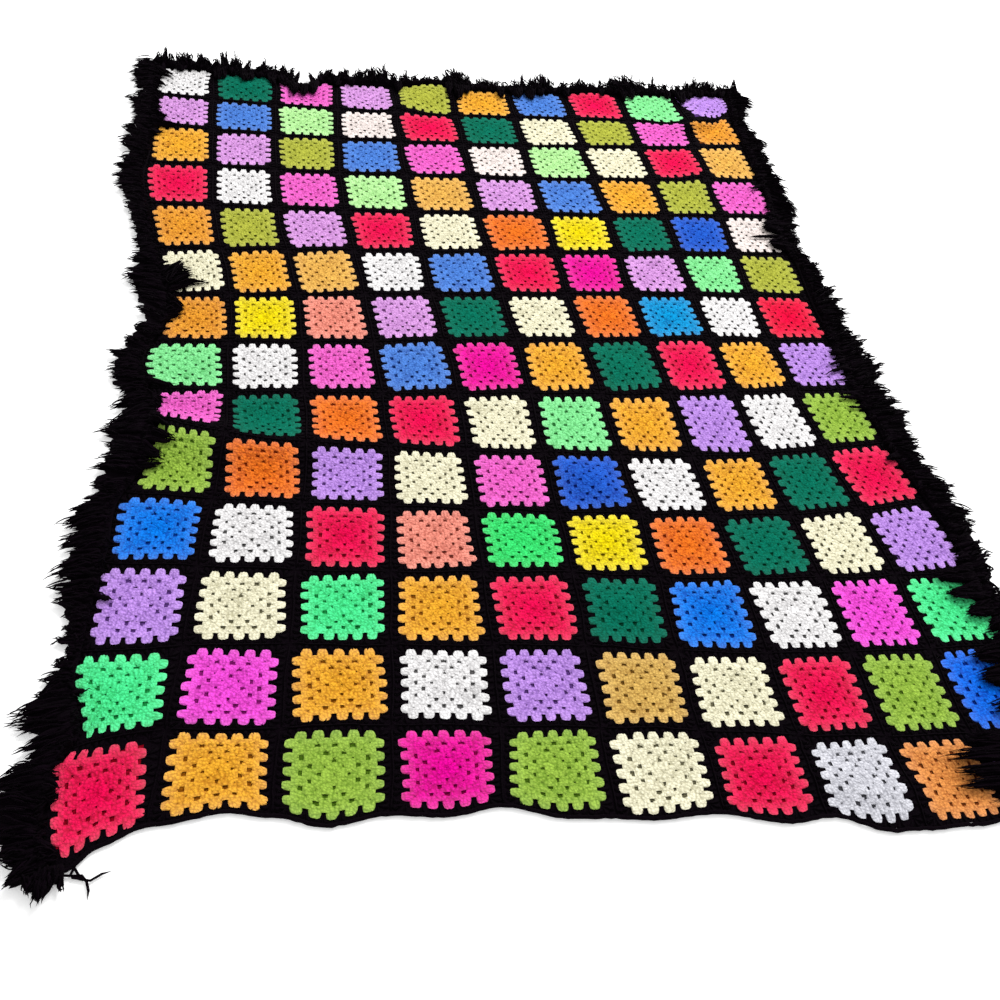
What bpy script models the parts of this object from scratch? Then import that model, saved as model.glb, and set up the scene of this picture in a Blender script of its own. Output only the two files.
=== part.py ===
"""Granny square blanket, laid out flat on a floor.

The cloth is one sheet of 10 by 14 crocheted squares. A black yarn fringe is knotted along its left, far and
right edges, and each of those is one comb. The cloth's near edge is plain.

Metres, +Z up. The origin is on the underside at the middle of the cloth, +X runs to the right across the
cloth and +Y along it to the far edge. Places on the cloth are given in squares: columns from the left edge
and rows from the far edge.
"""

from collections import namedtuple
from math import cos, exp, hypot, pi, radians, sin

import bmesh
import bpy
from mathutils import Vector

MM = 0.001

# Driving dimensions.
SQUARE = 0.117  # one crocheted square with its black round
COLUMNS = 10
ROWS = 14
THICKNESS = 0.004  # crochet in a medium yarn
GAP = 0.0003  # between the cloth and the fringe

# The sheet's own cells. Both counts are odd, so that the origin lies inside a flat cell.
CELLS_ACROSS = 35
CELLS_ALONG = 49

# How far the cloth lies out of square, in millimetres, a row for each section across it. `row` is where the
# section crosses the cloth. The four sideways (to the right) and lengthwise (to the far edge) shifts of a
# section stand at the columns in STATIONS.
STATIONS = (0.5, 3.5, 6.5, 9.5)
Section = namedtuple("Section", "row sideways lengthwise")
SECTIONS = (
    Section(0.5, (-5, -5, 0, 25), (-5, -20, -5, 30)),
    Section(2.0, (0, -10, 0, 10), (5, -5, 10, 45)),
    Section(4.0, (10, -10, 0, -10), (-10, -5, 10, 30)),
    Section(6.0, (45, 5, -5, -30), (-20, -5, 10, 20)),
    Section(7.5, (35, 15, 0, -30), (-10, -5, 5, 15)),
    Section(9.0, (35, 15, 0, -25), (20, -5, -20, 0)),
    Section(11.0, (0, 5, 5, -5), (30, 5, -15, -15)),
    Section(12.5, (-25, -5, 0, -5), (20, 15, -15, -25)),
    Section(13.5, (-35, -15, 0, -5), (20, 25, -10, -45)),
)

# How the edges wander besides. NEAR_WANDER is drawn by the seams: a column, and millimetres to the far edge.
# The side edges wander as the fringe drags on them: a row, and millimetres to the right.
NEAR_WANDER = (
    (0, -18), (0.3, -23), (0.6, -6), (1, 8), (1.6, 14), (2, 4), (2.5, -10), (3, -2), (3.5, -4), (4, 6),
    (4.6, -5), (5.2, -3), (6, 4), (6.6, -2), (7.1, 6), (7.6, -3), (8, 0), (8.5, 8), (9, 16), (10, 24),
)
LEFT_WANDER = (
    (0, 9), (1, 6), (2, 0), (2.7, -5), (3.4, -15), (4.5, -9), (5.3, -10), (6.4, 2), (7.4, -14), (8.1, -3),
    (8.8, 10), (9.6, 8), (10.2, -6), (10.9, 5), (11.4, 8), (12.2, 13), (12.9, 34), (13.2, 13), (13.6, 11),
    (14, 20),
)
RIGHT_WANDER = (
    (0, -4), (1.5, -6), (2.5, 0), (3.4, 8), (4.4, 4), (5.4, 17), (6.4, 13), (7.4, 12), (8.4, 5), (9.5, 7),
    (10.4, 13), (11.5, 4), (14, 0),
)

# Places tugged out of line: the middle and the spread of each tug in squares, and millimetres to the far edge.
Tug = namedtuple("Tug", "column row across along away")
TUGS = (
    Tug(10.1, 1.0, 0.5, 0.7, 50),
    Tug(9.2, 0.97, 0.7, 0.4, -32),
    Tug(2.42, 0.0, 0.28, 0.45, -30),
    Tug(-0.1, 8.8, 0.75, 0.35, 28),
    Tug(1.6, 8.8, 1.0, 0.8, -15),
    Tug(5.0, 11.0, 1.3, 1.3, 8),
    Tug(0.95, 13.1, 0.4, 0.28, 11),
)

# The folds that stand off the floor, a row for each. Centre, half length and half width are in squares, turn
# is the angle in degrees from the columns' direction to the fold's line, and height is in millimetres.
Fold = namedtuple("Fold", "column row half_length half_width turn height")
FOLDS = (
    Fold(0.9, 9.05, 2.6, 0.65, 4, 20),  # the ridge across the left side
    Fold(4.7, 0.1, 0.7, 0.7, 0, 11),  # humps on the far edge
    Fold(7.5, 0.1, 0.5, 0.5, 0, 5),
    Fold(5.5, 9.5, 0.95, 0.42, -45, 9),  # corner to corner creases of three squares
    Fold(6.5, 7.6, 0.85, 0.35, -45, 5),
    Fold(5.5, 11.5, 0.85, 0.35, -45, 5),
    Fold(9.2, 0.9, 1.1, 0.55, 50, 16),  # the far right corner
    Fold(8.9, 2.7, 0.9, 0.5, 75, 9),
    Fold(4.2, 0.7, 0.9, 0.45, 60, 10),  # the far edge
    Fold(1.6, 0.5, 1.0, 0.4, 0, 8),
    Fold(0.6, 12.8, 1.0, 0.5, 30, 9),  # the near left corner
    Fold(7.6, 13.6, 1.1, 0.4, -8, 8),  # the near edge
)

# The fringe, a row for each change along an edge. `place` is in squares along the edge, from its far or left
# end. The bunches reach `outward` past the edge and `inward` over the cloth, and stand `high`, in millimetres.
Bunch = namedtuple("Bunch", "place outward inward high")
LEFT_FRINGE = (
    Bunch(0.0, 26, 16, 24),
    Bunch(0.5, 42, 30, 24),
    Bunch(1.0, 26, 20, 22),
    Bunch(1.75, 42, 34, 26),
    Bunch(2.5, 46, 30, 26),
    Bunch(3.5, 46, 12, 26),
    Bunch(4.25, 36, 14, 24),
    Bunch(5.0, 38, 30, 26),
    Bunch(5.75, 62, 80, 30),
    Bunch(6.25, 52, 44, 30),
    Bunch(7.0, 36, 20, 24),
    Bunch(8.0, 44, 34, 26),
    Bunch(8.3, 34, 34, 26),
    Bunch(9.0, 56, 46, 28),
    Bunch(9.6, 50, 34, 26),
    Bunch(10.0, 32, 16, 24),
    Bunch(10.6, 44, 16, 26),
    Bunch(11.1, 45, 20, 26),
    Bunch(11.6, 28, 18, 24),
    Bunch(12.1, 14, 14, 20),
    Bunch(12.6, 42, 18, 26),
    Bunch(13.4, 40, 26, 28),
    Bunch(14.0, 28, 26, 32),
    Bunch(14.35, 22, 8, 16),
)
RIGHT_FRINGE = (
    Bunch(0.0, 24, 14, 24),
    Bunch(0.6, 38, 14, 24),
    Bunch(1.4, 22, 16, 22),
    Bunch(2.0, 36, 20, 26),
    Bunch(3.5, 45, 26, 26),
    Bunch(4.3, 46, 44, 28),
    Bunch(4.8, 30, 44, 26),
    Bunch(5.5, 50, 16, 26),
    Bunch(6.4, 58, 14, 28),
    Bunch(6.9, 44, 22, 26),
    Bunch(7.5, 54, 32, 28),
    Bunch(8.3, 48, 36, 28),
    Bunch(8.8, 58, 24, 28),
    Bunch(9.5, 44, 26, 28),
    Bunch(10.2, 38, 20, 26),
    Bunch(10.8, 30, 34, 28),
    Bunch(11.4, 28, 60, 30),
    Bunch(12.4, 38, 76, 32),
    Bunch(13.4, 40, 130, 32),
    Bunch(14.0, 40, 90, 30),
    Bunch(14.35, 24, 30, 16),
)
FAR_FRINGE = (
    Bunch(-0.35, 20, 0, 18),
    Bunch(0.0, 22, 20, 24),
    Bunch(0.8, 34, 30, 28),
    Bunch(1.3, 34, 46, 30),
    Bunch(2.0, 28, 46, 26),
    Bunch(2.5, 20, 56, 24),
    Bunch(3.0, 26, 30, 26),
    Bunch(3.7, 38, 20, 32),
    Bunch(4.2, 20, 22, 24),
    Bunch(4.6, 14, 16, 22),
    Bunch(5.05, 44, 46, 34),
    Bunch(5.6, 20, 40, 26),
    Bunch(6.2, 22, 42, 26),
    Bunch(6.6, 38, 34, 32),
    Bunch(7.3, 18, 18, 24),
    Bunch(8.15, 42, 26, 34),
    Bunch(8.9, 16, 26, 24),
    Bunch(9.3, 30, 44, 30),
    Bunch(10.0, 22, 14, 26),
    Bunch(10.35, 18, 0, 16),
)
END_REACH = 0.35  # how far a comb runs past the corner of the cloth, in squares
CORNER_START = 0.05  # where the side combs begin, clear of the far comb, in squares
MITRE = 0.6  # slope of the lip's end at a corner that two combs share
NOTCH = 0.55  # reach between two bunches, as a share of a bunch's reach
NOTCH_HEIGHT = 0.85  # height there, as a share of a bunch's height
LIP_SLOPE = 0.02  # extra rise of the lip's underside over the cloth
LIP_THICKNESS = 0.010
TIP_THICKNESS = 0.003
LIP_TOP, SHOULDER = 0.8, 0.55  # where the lip's top and the outer shoulder stand, as shares of the reach
SHOULDER_HEIGHT = 0.75

BLACK = (0.006, 0.006, 0.008, 1.0)
CLOTH_TONE = (0.33, 0.13, 0.16, 1.0)


def clear_scene():
    for item in list(bpy.data.objects):
        bpy.data.objects.remove(item, do_unlink=True)


def new_collection(name):
    collection = bpy.data.collections.new(name)
    bpy.context.scene.collection.children.link(collection)
    return collection


def yarn(name, colour, roughness):
    material = bpy.data.materials.new(name)
    material.use_nodes = True
    shader = material.node_tree.nodes["Principled BSDF"]
    shader.inputs["Base Color"].default_value = colour
    shader.inputs["Roughness"].default_value = roughness
    shader.inputs["Metallic"].default_value = 0.0
    return material


def across_weights(column):
    """Weights of a cubic through the four stations at this column."""
    weights = []
    for here in STATIONS:
        weight = 1.0
        for other in STATIONS:
            if other != here:
                weight *= (column - other) / (here - other)
        weights.append(weight)
    return weights


def section_shift(section, column):
    """Sideways and lengthwise shift of a section at this column, in metres."""
    weights = across_weights(column)
    sideways = sum(w * s for w, s in zip(weights, section.sideways))
    lengthwise = sum(w * s for w, s in zip(weights, section.lengthwise))
    return Vector((sideways, lengthwise)) * MM


def section_slope(index, column):
    """Change of the shift for each row of squares at one section."""
    before = SECTIONS[max(index - 1, 0)]
    after = SECTIONS[min(index + 1, len(SECTIONS) - 1)]
    change = section_shift(after, column) - section_shift(before, column)
    return change / (after.row - before.row)


def eased(table, place):
    """The shift at this place, in metres, easing from each row of the table to the next."""
    index = 0
    while index < len(table) - 2 and place > table[index + 1][0]:
        index += 1
    (first, start), (last, end) = table[index], table[index + 1]
    t = min(max((place - first) / (last - first), 0.0), 1.0)
    return (start + (end - start) * t * t * (3 - 2 * t)) * MM


def wander(column, row):
    """The further shift of this place by the wandering of the edges and by the tugs."""
    sideways = eased(LEFT_WANDER, row) * max(1.0 - column, 0.0) ** 2
    sideways += eased(RIGHT_WANDER, row) * max(column - (COLUMNS - 1), 0.0) ** 2
    away = eased(NEAR_WANDER, column) * max(row - (ROWS - 1), 0.0)
    for tug in TUGS:
        spread = ((column - tug.column) / tug.across) ** 2 + ((row - tug.row) / tug.along) ** 2
        away += tug.away * MM * exp(-spread)
    return Vector((sideways, away))


def shift(column, row):
    """How far this place lies out of square: a smooth curve through the sections, straight past the ends."""
    index = 0
    while index < len(SECTIONS) - 2 and row > SECTIONS[index + 1].row:
        index += 1
    first, last = SECTIONS[index], SECTIONS[index + 1]
    span = last.row - first.row
    t = (row - first.row) / span
    start, end = section_shift(first, column), section_shift(last, column)
    start_slope = section_slope(index, column) * span
    end_slope = section_slope(index + 1, column) * span
    if t < 0.0:
        return start + start_slope * t
    if t > 1.0:
        return end + end_slope * (t - 1.0)
    return (
        start * (2 * t**3 - 3 * t**2 + 1)
        + start_slope * (t**3 - 2 * t**2 + t)
        + end * (3 * t**2 - 2 * t**3)
        + end_slope * (t**3 - t**2)
    )


def lift(column, row):
    """Height of the underside over the floor: the sum of the folds, each a smooth hump with a flat foot."""
    height = 0.0
    for fold in FOLDS:
        right, away = column - fold.column, fold.row - row
        turn = radians(fold.turn)
        along = (right * cos(turn) + away * sin(turn)) / fold.half_length
        aside = (away * cos(turn) - right * sin(turn)) / fold.half_width
        spread = hypot(along, aside)
        if spread < 1.0:
            height += fold.height * MM * (1.0 + cos(pi * spread)) / 2.0
    return height


def laid(column, row):
    """The underside of the cloth at this place."""
    aside = shift(column, row) + wander(column, row)
    x = (column - COLUMNS / 2) * SQUARE + aside.x
    y = (ROWS / 2 - row) * SQUARE + aside.y
    return Vector((x, y, lift(column, row)))


def grid_point(i, j):
    """The underside at a corner of the sheet's own cells."""
    return laid(COLUMNS * i / CELLS_ACROSS, ROWS * j / CELLS_ALONG)


def add_object(name, mesh, material, collection):
    mesh.materials.append(material)
    item = bpy.data.objects.new(name, mesh)
    collection.objects.link(item)
    return item


def make_cloth(material, collection):
    """The sheet: a grid laid in its folds, then raised straight up, which keeps its rim upright."""
    sheet = bmesh.new()
    bmesh.ops.create_grid(sheet, x_segments=CELLS_ACROSS, y_segments=CELLS_ALONG, size=0.5)
    for vert in sheet.verts:
        column = COLUMNS * (vert.co.x + 0.5)
        row = ROWS * (0.5 - vert.co.y)
        vert.co = laid(column, row)
    underside = sheet.faces[:]
    raised = bmesh.ops.extrude_face_region(sheet, geom=underside, use_keep_orig=True)
    top = [item for item in raised["geom"] if isinstance(item, bmesh.types.BMVert)]
    bmesh.ops.translate(sheet, verts=top, vec=(0.0, 0.0, THICKNESS))
    bmesh.ops.triangulate(sheet, faces=sheet.faces[:])
    bmesh.ops.recalc_face_normals(sheet, faces=sheet.faces[:])
    mesh = bpy.data.meshes.new("blanket")
    sheet.to_mesh(mesh)
    sheet.free()
    return add_object("blanket", mesh, material, collection)


class Edge:
    """One edge of the cloth, followed from its far or left end, with the way that its fringe points."""

    def __init__(self, outward, squares, cells, corner):
        self.outward = Vector(outward)
        self.squares = squares
        self.cells = cells
        self.corner = corner

    def node(self, k, depth):
        """The sheet's corner at step k along the edge and depth cells in from it."""
        return grid_point(*self.corner(k, depth))

    def rim(self, place):
        """The cloth's lower rim at this place, on the straight run between two of its own corners. Past an
        end it runs straight on."""
        step = place / self.squares * self.cells
        k = min(max(int(step), 0), self.cells - 1)
        start, end = self.node(k, 0), self.node(k + 1, 0)
        point = start.lerp(end, min(max(step - k, 0.0), 1.0))
        beyond = step - min(max(step, 0), self.cells)
        along = Vector((-abs(self.outward.y), abs(self.outward.x), 0.0)) * -1.0
        return point + along * beyond * self.squares / self.cells * SQUARE

    def lip_rise(self, place, inward):
        """The least slope of a line from the rim that clears the cloth under a lip of this width."""
        step = place / self.squares * self.cells
        rim_height = self.rim(place).z
        steepest = 0.0
        depth = 1
        while (depth - 1) * SQUARE * self.squares / self.cells < inward:
            for k in range(int(step) - 1, int(step) + 3):
                if 0 <= k <= self.cells:
                    node = self.node(k, depth)
                    distance = abs((node - self.node(k, 0)).dot(self.outward))
                    steepest = max(steepest, (node.z - rim_height) / distance)
            depth += 1
        return steepest + LIP_SLOPE


LEFT_EDGE = Edge((-1, 0, 0), ROWS, CELLS_ALONG, lambda k, depth: (depth, k))
RIGHT_EDGE = Edge((1, 0, 0), ROWS, CELLS_ALONG, lambda k, depth: (CELLS_ACROSS - depth, k))
FAR_EDGE = Edge((0, 1, 0), COLUMNS, CELLS_ACROSS, lambda k, depth: (k, depth))


def bunch_at(table, place):
    """Outward reach, inward reach and height at this place, in metres, straight between the table's rows."""
    place = min(max(place, table[0].place), table[-1].place)
    index = 0
    while index < len(table) - 2 and place > table[index + 1].place:
        index += 1
    first, last = table[index], table[index + 1]
    t = (place - first.place) / (last.place - first.place)
    sizes = (a + (b - a) * t for a, b in zip(first[1:], last[1:]))
    return [size * MM for size in sizes]


def comb_section(edge, table, place, bunch, shared_ends):
    """The eight corners of a comb where it crosses the edge at this place: its foot stands on the floor
    against the rim, its lip lies over the cloth and its tips lie on the floor outside."""
    outward, inward, high = bunch_at(table, place)
    if not bunch:
        outward *= NOTCH
        high *= NOTCH_HEIGHT
    for end in shared_ends:
        past_corner = place if end == 0 else end - place
        inward = min(inward, MITRE * SQUARE * max(past_corner, 0.0))
    rim = edge.rim(place)
    top = rim.z + THICKNESS + GAP
    lip = top + edge.lip_rise(place, inward) * inward
    crown = rim.z + THICKNESS + high
    profile = (
        (GAP, 0.0),
        (GAP, top),
        (-inward, lip),
        (-inward * LIP_TOP, lip + LIP_THICKNESS),
        (0.0, max(crown, lip + LIP_THICKNESS)),
        (outward * SHOULDER, crown * SHOULDER_HEIGHT),
        (outward, TIP_THICKNESS),
        (outward, 0.0),
    )
    ground = Vector((rim.x, rim.y, 0.0))
    return [ground + edge.outward * reach + Vector((0.0, 0.0, z)) for reach, z in profile]


def comb_places(edge, start, end):
    """A place at each corner of the cloth's rim and halfway between, marked where a bunch stands."""
    places = [(start, False)]
    for half_step in range(2 * edge.cells + 1):
        place = half_step * edge.squares / edge.cells / 2
        if start < place < end:
            places.append((place, half_step % 2 == 1))
    places.append((end, False))
    return places


def make_comb(name, edge, table, start, end, shared_ends, material, collection):
    """A fringe: a loft through its sections, closed by a face at each end."""
    comb = bmesh.new()
    rings = []
    for place, bunch in comb_places(edge, start, end):
        corners = comb_section(edge, table, place, bunch, shared_ends)
        rings.append([comb.verts.new(corner) for corner in corners])
    for ring, following in zip(rings, rings[1:]):
        for k in range(len(ring)):
            after = (k + 1) % len(ring)
            comb.faces.new((ring[k], ring[after], following[after], following[k]))
    comb.faces.new(rings[0])
    comb.faces.new(rings[-1])
    bmesh.ops.triangulate(comb, faces=comb.faces[:])
    bmesh.ops.recalc_face_normals(comb, faces=comb.faces[:])
    mesh = bpy.data.meshes.new(name)
    comb.to_mesh(mesh)
    comb.free()
    return add_object(name, mesh, material, collection)


def build():
    clear_scene()
    collection = new_collection("granny_square_blanket")
    cloth_yarn = yarn("crochet", CLOTH_TONE, 0.95)
    make_cloth(cloth_yarn, collection)
    for name, edge, table, start, end, shared_ends in (
        ("fringe_left", LEFT_EDGE, LEFT_FRINGE, CORNER_START, ROWS + END_REACH, (0,)),
        ("fringe_right", RIGHT_EDGE, RIGHT_FRINGE, CORNER_START, ROWS + END_REACH, (0,)),
        ("fringe_far", FAR_EDGE, FAR_FRINGE, -END_REACH, COLUMNS + END_REACH, (0, COLUMNS)),
    ):
        make_comb(name, edge, table, start, end, shared_ends, yarn(name, BLACK, 0.9), collection)


build()
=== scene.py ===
from math import radians

import bpy
import numpy as np
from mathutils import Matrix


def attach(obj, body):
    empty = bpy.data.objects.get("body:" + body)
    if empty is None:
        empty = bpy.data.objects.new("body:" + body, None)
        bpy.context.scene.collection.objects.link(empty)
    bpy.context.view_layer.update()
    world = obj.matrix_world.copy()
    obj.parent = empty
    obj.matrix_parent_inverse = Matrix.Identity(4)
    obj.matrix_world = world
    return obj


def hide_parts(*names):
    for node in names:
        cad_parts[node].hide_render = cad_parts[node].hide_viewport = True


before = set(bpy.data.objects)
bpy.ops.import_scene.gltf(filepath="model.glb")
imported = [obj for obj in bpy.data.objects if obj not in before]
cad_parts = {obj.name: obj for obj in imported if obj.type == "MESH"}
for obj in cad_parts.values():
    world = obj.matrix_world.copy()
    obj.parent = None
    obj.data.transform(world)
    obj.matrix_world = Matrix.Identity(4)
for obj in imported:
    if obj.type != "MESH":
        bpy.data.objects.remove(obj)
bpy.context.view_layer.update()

# ---- Camera ------------------------------------------------------------------
# Stands at the near left of the blanket and looks down its length, with the right side of the view tipped up
# a little, as a camera held in the hand is.
camera_data = bpy.data.cameras.new("camera")
camera_data.lens = 39.8
camera_data.sensor_width = 36.0
camera = bpy.data.objects.new("camera", camera_data)
camera.location = (-0.384, -1.327, 1.100)
camera.rotation_euler = (radians(42.7), radians(-8.44), radians(-8.54))
bpy.context.scene.collection.objects.link(camera)
bpy.context.scene.camera = camera

# ---- Web of the cloth --------------------------------------------------------
# The backs of the black stitches make one thin web of acrylic under the rounds that join the squares, ten
# squares by fourteen. It is open under the coloured squares, which have a ground of their own, and it lies in
# the folds of the solid, as every stitch does.
MM = 0.001
SQUARE = 117 * MM
COLUMNS, ROWS = 10, 14
STATIONS = (0.5, 3.5, 6.5, 9.5)  # columns where each section's four shifts stand
# Where each section crosses the cloth, and its four sideways and four lengthwise shifts in millimetres.
SECTIONS = (
    (0.5, (-5, -5, 0, 25), (-5, -20, -5, 30)),
    (2.0, (0, -10, 0, 10), (5, -5, 10, 45)),
    (4.0, (10, -10, 0, -10), (-10, -5, 10, 30)),
    (6.0, (45, 5, -5, -30), (-20, -5, 10, 20)),
    (7.5, (35, 15, 0, -30), (-10, -5, 5, 15)),
    (9.0, (35, 15, 0, -25), (20, -5, -20, 0)),
    (11.0, (0, 5, 5, -5), (30, 5, -15, -15)),
    (12.5, (-25, -5, 0, -5), (20, 15, -15, -25)),
    (13.5, (-35, -15, 0, -5), (20, 25, -10, -45)),
)
# Each fold's centre column and row, half length and half width in squares, turn in degrees, height in mm.
FOLDS = (
    (0.9, 9.05, 2.6, 0.65, 4, 20),
    (4.7, 0.1, 0.7, 0.7, 0, 11),
    (7.5, 0.1, 0.5, 0.5, 0, 5),
    (5.5, 9.5, 0.95, 0.42, -45, 9),
    (6.5, 7.6, 0.85, 0.35, -45, 5),
    (5.5, 11.5, 0.85, 0.35, -45, 5),
    (9.2, 0.9, 1.1, 0.55, 50, 16),
    (8.9, 2.7, 0.9, 0.5, 75, 9),
    (4.2, 0.7, 0.9, 0.45, 60, 10),
    (1.6, 0.5, 1.0, 0.4, 0, 8),
    (0.6, 12.8, 1.0, 0.5, 30, 9),
    (7.6, 13.6, 1.1, 0.4, -8, 8),
)
# The near edge is drawn in at some seams and bulges between them: columns, and shifts away in millimetres.
NEAR_EDGE = (
    (0, -18), (0.3, -20), (0.6, -2), (1, 12), (1.6, 17), (2, 6), (2.5, -10), (3, -2), (3.5, -4), (4, 6),
    (4.6, -5), (5.2, -5), (6, 4), (6.6, -2), (7.1, 8), (7.6, -3), (8, 1), (8.5, 11), (9, 20), (10, 27),
)
# The side edges wander as the fringe drags on them: rows, and shifts to the right in millimetres.
LEFT_EDGE = (
    (0, 9), (1, 6), (2, 0), (2.7, -5), (3.4, -15), (4.5, -9), (5.3, -10), (6.4, 2), (7.4, -14), (8.1, -3),
    (8.8, 10), (9.6, 8), (10.2, -6), (10.9, 5), (11.4, 8), (12.2, 13), (12.9, 34), (13.2, 13), (13.6, 11),
    (14, 20),
)
RIGHT_EDGE = (
    (0, -4), (1.5, -6), (2.5, 0), (3.4, 8), (4.4, 4), (5.4, 17), (6.4, 13), (7.4, 12), (8.4, 5), (9.5, 7),
    (10.4, 13), (11.5, 4), (14, 0),
)
# Places tugged out of line: column and row, the spread across and along in squares, and millimetres away.
TUGS = (
    (10.1, 1.0, 0.5, 0.7, 50), (9.2, 0.97, 0.7, 0.4, -32), (2.42, 0.0, 0.28, 0.45, -30),
    (-0.1, 8.8, 0.75, 0.35, 28), (1.6, 8.8, 1.0, 0.8, -15), (5.0, 11.0, 1.3, 1.3, 8),
    (0.95, 13.1, 0.4, 0.28, 11),
)


def section_shifts(column):
    """The shift of every section at these columns, by a cubic through the four stations."""
    weights = []
    for here in STATIONS:
        weight = np.ones_like(column)
        for other in STATIONS:
            if other != here:
                weight = weight * (column - other) / (here - other)
        weights.append(weight)
    shifts = np.array([(sideways, lengthwise) for _, sideways, lengthwise in SECTIONS], float)
    return np.einsum("sdk,kn->sdn", shifts, np.array(weights)) * MM


def eased(table, place):
    """Shifts at these places, in metres, easing from each entry of the table to the next."""
    at, shifts = np.array(table, float).T
    k = np.clip(np.searchsorted(at, place) - 1, 0, len(at) - 2)
    t = np.clip((place - at[k]) / (at[k + 1] - at[k]), 0.0, 1.0)
    return (shifts[k] + (shifts[k + 1] - shifts[k]) * t * t * (3 - 2 * t)) * MM


def shift(column, row):
    """How far each place lies out of square: a smooth curve through the sections, straight past the ends."""
    at = np.array([section[0] for section in SECTIONS])
    shifts = section_shifts(column)
    after, before = np.minimum(np.arange(len(at)) + 1, len(at) - 1), np.maximum(np.arange(len(at)) - 1, 0)
    slopes = (shifts[after] - shifts[before]) / (at[after] - at[before])[:, None, None]
    k = np.clip(np.searchsorted(at, row) - 1, 0, len(at) - 2)
    n = np.arange(len(row))
    span = at[k + 1] - at[k]
    past = (row - at[k]) / span
    t = np.clip(past, 0.0, 1.0)
    start, end = shifts[k, :, n].T, shifts[k + 1, :, n].T
    start_slope, end_slope = slopes[k, :, n].T * span, slopes[k + 1, :, n].T * span
    curve = (
        start * (2 * t**3 - 3 * t**2 + 1)
        + start_slope * (t**3 - 2 * t**2 + t)
        + end * (3 * t**2 - 2 * t**3)
        + end_slope * (t**3 - t**2)
    )
    curve += start_slope * np.minimum(past, 0.0) + end_slope * np.maximum(past - 1.0, 0.0)
    curve[0] += eased(LEFT_EDGE, row) * np.clip(1.0 - column, 0.0, 1.0) ** 2
    curve[0] += eased(RIGHT_EDGE, row) * np.clip(column - (COLUMNS - 1), 0.0, 1.0) ** 2
    curve[1] += eased(NEAR_EDGE, column) * np.clip(row - (ROWS - 1), 0.0, 1.0)
    for tug_column, tug_row, across, along, away in TUGS:
        spread = ((column - tug_column) / across) ** 2 + ((row - tug_row) / along) ** 2
        curve[1] += away * MM * np.exp(-spread)
    return curve


DROP = 0.35  # of a square, past the edge, in which the fringe comes down to the floor


def lift(column, row):
    """Height over the floor, the sum of the folds. Past an edge it dies away, as the fringe drops to it."""
    height = np.zeros_like(column)
    for fold_column, fold_row, half_length, half_width, turn, tall in FOLDS:
        right, away = column - fold_column, fold_row - row
        cosine, sine = np.cos(radians(turn)), np.sin(radians(turn))
        along = (right * cosine + away * sine) / half_length
        across = (away * cosine - right * sine) / half_width
        spread = np.hypot(along, across)
        height += tall * MM * (1.0 + np.cos(np.pi * np.minimum(spread, 1.0))) / 2.0
    outside = np.maximum.reduce([-column, column - COLUMNS, -row, row - ROWS, np.zeros_like(column)])
    return height * np.clip(1.0 - outside / DROP, 0.0, 1.0)


def lay(points):
    """Takes points on the flat cloth (x, y and height over its underside, in metres) to where they lie."""
    x, y, height = points.reshape(-1, 3).T
    column, row = x / SQUARE + COLUMNS / 2, ROWS / 2 - y / SQUARE
    aside = shift(column, row)
    step = 0.01
    base = lift(column, row)
    slope_x = (lift(column + step, row) - base) / (step * SQUARE)
    slope_y = (lift(column, row - step) - base) / (step * SQUARE)
    upright = np.sqrt(1.0 + slope_x**2 + slope_y**2)
    laid = np.stack(
        [
            x + aside[0] - slope_x / upright * height,
            y + aside[1] - slope_y / upright * height,
            base + height / upright,
        ],
        axis=1,
    )
    return laid.reshape(points.shape)


def linear(hex_colour):
    """An sRGB hex colour as linear red, green and blue."""
    values = [int(hex_colour[k : k + 2], 16) / 255 for k in (0, 2, 4)]
    return [v / 12.92 if v <= 0.04045 else ((v + 0.055) / 1.055) ** 2.4 for v in values]


def node(tree, kind, settings=(), links=()):
    """Adds a shader node, sets its properties and input values, and links its inputs from outputs."""
    made = tree.nodes.new("ShaderNode" + kind)
    for key, value in dict(settings).items():
        if isinstance(key, str) and hasattr(made, key):
            setattr(made, key, value)
        else:
            made.inputs[key].default_value = value
    for key, output in dict(links).items():
        tree.links.new(output, made.inputs[key])
    return made


DYE_PATCH = 12 * MM  # over which the dye wanders


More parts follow.
